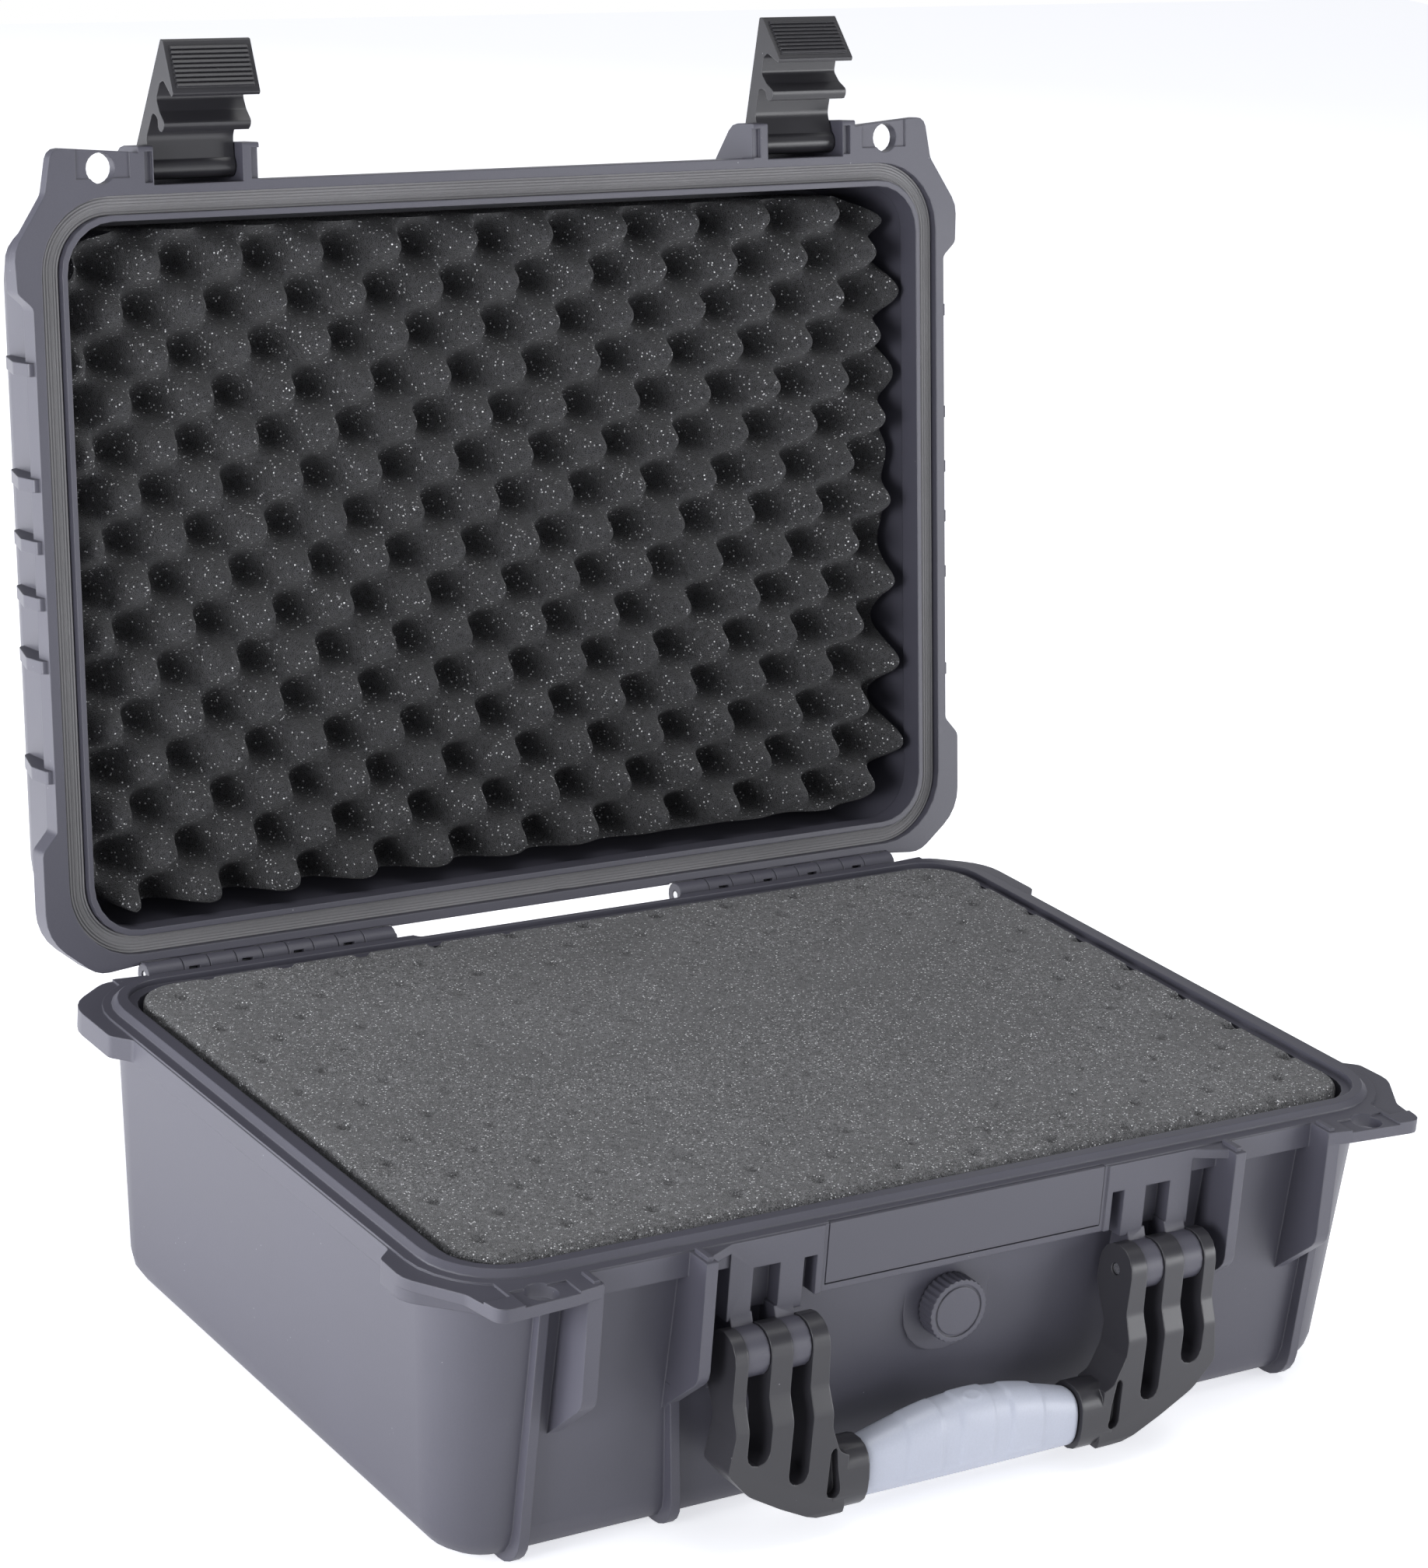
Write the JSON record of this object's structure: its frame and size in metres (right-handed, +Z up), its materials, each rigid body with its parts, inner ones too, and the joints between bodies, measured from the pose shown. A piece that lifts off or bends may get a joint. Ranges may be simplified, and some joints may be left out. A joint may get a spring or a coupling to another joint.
{
  "type": "hard equipment case",
  "caption": "Hard plastic equipment case with hinged lid, over-centre draw latches, folding carry handle, pressure valve and foam lining, standing open.",
  "frame": {"origin": "centre of the underside of the base, on the surface the case rests on", "axes": "+X to the case's own right seen from the front with the handle facing you, -Y out of the front wall that carries the handle, +Z up; stored with the lid swung open 99 degrees"},
  "size_m": [0.421, 0.4174, 0.4575],
  "materials": {
    "shell_plastic": "fine moulded texture",
    "latch_plastic": "satin",
    "handle_plastic": "satin",
    "plate_plastic": "satin",
    "grip_rubber": "soft matte",
    "gasket_rubber": "matte",
    "seal_rubber": "matte",
    "pin_steel": "bright drawn",
    "pad_foam": "open cell foam",
    "lid_foam": "open cell egg-crate foam"
  },
  "bodies": {
    "base": {"base_shell": "shell_plastic", "nameplate": "plate_plastic", "hinge_pin_left": "pin_steel", "hinge_pin_right": "pin_steel", "floor_pad": "pad_foam", "pluck_foam_lower": "pad_foam", "pluck_foam_upper": "pad_foam", "cover_pad": "pad_foam"},
    "lid": {"lid_shell": "shell_plastic", "lid_gasket": "gasket_rubber", "lid_foam": "lid_foam", "latch_pin_left": "pin_steel", "latch_pin_right": "pin_steel"},
    "latch_left": {"latch_left": "latch_plastic"},
    "latch_right": {"latch_right": "latch_plastic"},
    "handle": {"handle_frame": "handle_plastic", "handle_grip": "grip_rubber", "handle_pin_left": "pin_steel", "handle_pin_right": "pin_steel"},
    "valve_slide": {"valve_seal": "seal_rubber"},
    "valve": {"valve_knob": "shell_plastic"}
  },
  "joints": [
    {"name": "lid_hinge", "type": "hinge", "parent": "base", "child": "lid", "pos_m": [0, 0.1505, 0.1103], "axis": [1, 0, 0], "range_deg": [0, 98.98]},
    {"name": "latch_left_hinge", "type": "hinge", "parent": "lid", "child": "latch_left", "pos_m": [-0.1355, 0.2088, 0.40683], "axis": [1, 0, 0], "range_deg": [-41.5, 58.5]},
    {"name": "latch_right_hinge", "type": "hinge", "parent": "lid", "child": "latch_right", "pos_m": [0.1355, 0.2088, 0.40683], "axis": [1, 0, 0], "range_deg": [-25, 75]},
    {"name": "handle_hinge", "type": "hinge", "parent": "base", "child": "handle", "pos_m": [0, -0.1515, 0.073], "axis": [-1, 0, 0], "range_deg": [0, 95]},
    {"name": "valve_lift", "type": "slide", "parent": "base", "child": "valve_slide", "axis": [0, -1, 0], "range_m": [0, 0.003]},
    {"name": "valve_turn", "type": "hinge", "parent": "valve_slide", "child": "valve", "pos_m": [0, -0.14, 0.067], "axis": [0, -1, 0], "range_deg": [0, 720]}
  ],
  "couplings": [
    {"joint": "valve_lift", "follows": "valve_turn", "m_per_rad": 0.00023873}
  ]
}
